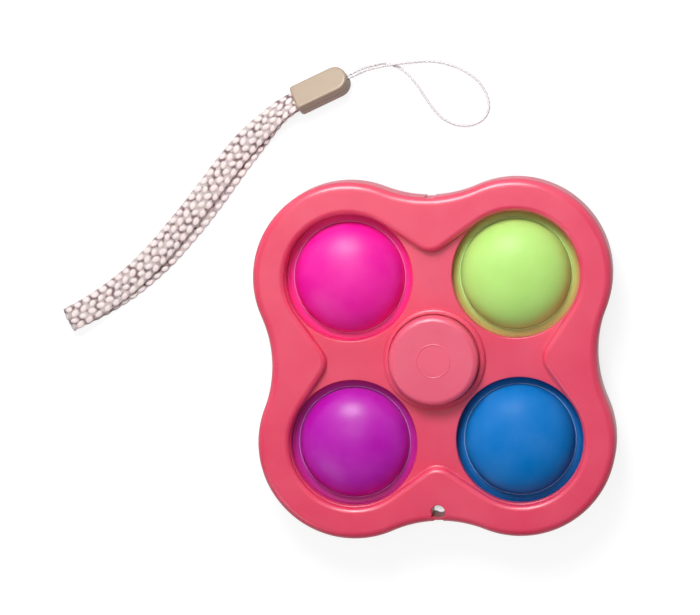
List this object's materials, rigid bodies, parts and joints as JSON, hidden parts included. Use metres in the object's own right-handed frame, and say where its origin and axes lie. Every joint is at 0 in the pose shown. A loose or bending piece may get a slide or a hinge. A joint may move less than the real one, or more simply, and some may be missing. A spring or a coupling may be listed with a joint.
{
  "type": "bubble pop fidget spinner",
  "caption": "Clover-shaped hand spinner on a ball bearing with push-through silicone bubbles in its lobes, and a loose wrist strap.",
  "frame": {"origin": "on the hub axis, in the outer face of the back cap on which the spinner rests", "axes": "+Z along the hub axis out of the front face, +Y away from the lanyard hole, +X to the right seen from the front"},
  "size_m": [0.1401, 0.1192, 0.017],
  "materials": {
    "coral_plastic": "satin moulded plastic",
    "cap_plastic": "satin moulded plastic",
    "pink_silicone": "satin silicone",
    "green_silicone": "satin silicone",
    "purple_silicone": "satin silicone",
    "blue_silicone": "satin silicone",
    "bearing_steel": "ground steel",
    "ball_steel": "polished steel",
    "cage_plastic": "natural nylon",
    "clip_plastic": "satin moulded plastic",
    "braid": "braided polyester tape",
    "string": "thin polyester cord"
  },
  "bodies": {
    "hub": {"front_cap": "cap_plastic", "back_cap": "cap_plastic", "bearing_inner_ring": "bearing_steel"},
    "frame": {"front_shell": "coral_plastic", "back_shell": "coral_plastic", "bearing_outer_ring": "bearing_steel", "bearing_front_shield": "bearing_steel", "bearing_back_shield": "bearing_steel", "pink_bubble_collar": "pink_silicone", "green_bubble_collar": "green_silicone", "purple_bubble_collar": "purple_silicone", "blue_bubble_collar": "blue_silicone"},
    "cage": {"bearing_cage": "cage_plastic", "bearing_ball_1": "ball_steel", "bearing_ball_2": "ball_steel", "bearing_ball_3": "ball_steel", "bearing_ball_4": "ball_steel", "bearing_ball_5": "ball_steel", "bearing_ball_6": "ball_steel", "bearing_ball_7": "ball_steel"},
    "wrist_strap": {"strap_clip_cover": "clip_plastic", "strap_clip_base": "clip_plastic", "strap_tape": "braid", "strap_string": "string"},
    "pink_bubble": {"pink_bubble_dome": "pink_silicone"},
    "green_bubble": {"green_bubble_dome": "green_silicone"},
    "purple_bubble": {"purple_bubble_dome": "purple_silicone"},
    "blue_bubble": {"blue_bubble_dome": "blue_silicone"}
  },
  "joints": [
    {"name": "frame_spin", "type": "hinge", "parent": "hub", "child": "frame", "pos_m": [0, 0, 0.0085], "axis": [0, 0, 1], "continuous": true},
    {"name": "cage_roll", "type": "hinge", "parent": "hub", "child": "cage", "pos_m": [0, 0, 0.0085], "axis": [0, 0, 1], "continuous": true},
    {"name": "pink_bubble_pop", "type": "slide", "parent": "frame", "child": "pink_bubble", "axis": [0, 0, -1], "range_m": [0, 0.0152]},
    {"name": "green_bubble_pop", "type": "slide", "parent": "frame", "child": "green_bubble", "axis": [0, 0, -1], "range_m": [0, 0.0152]},
    {"name": "purple_bubble_pop", "type": "slide", "parent": "frame", "child": "purple_bubble", "axis": [0, 0, -1], "range_m": [0, 0.0152]},
    {"name": "blue_bubble_pop", "type": "slide", "parent": "frame", "child": "blue_bubble", "axis": [0, 0, -1], "range_m": [0, 0.0152]},
    {"name": "strap_lift", "type": "slide", "parent": "hub", "child": "wrist_strap", "axis": [0, 0, 1], "range_m": [0, 0.06]}
  ],
  "couplings": [
    {"joint": "cage_roll", "follows": "frame_spin", "ratio": 0.6323}
  ]
}
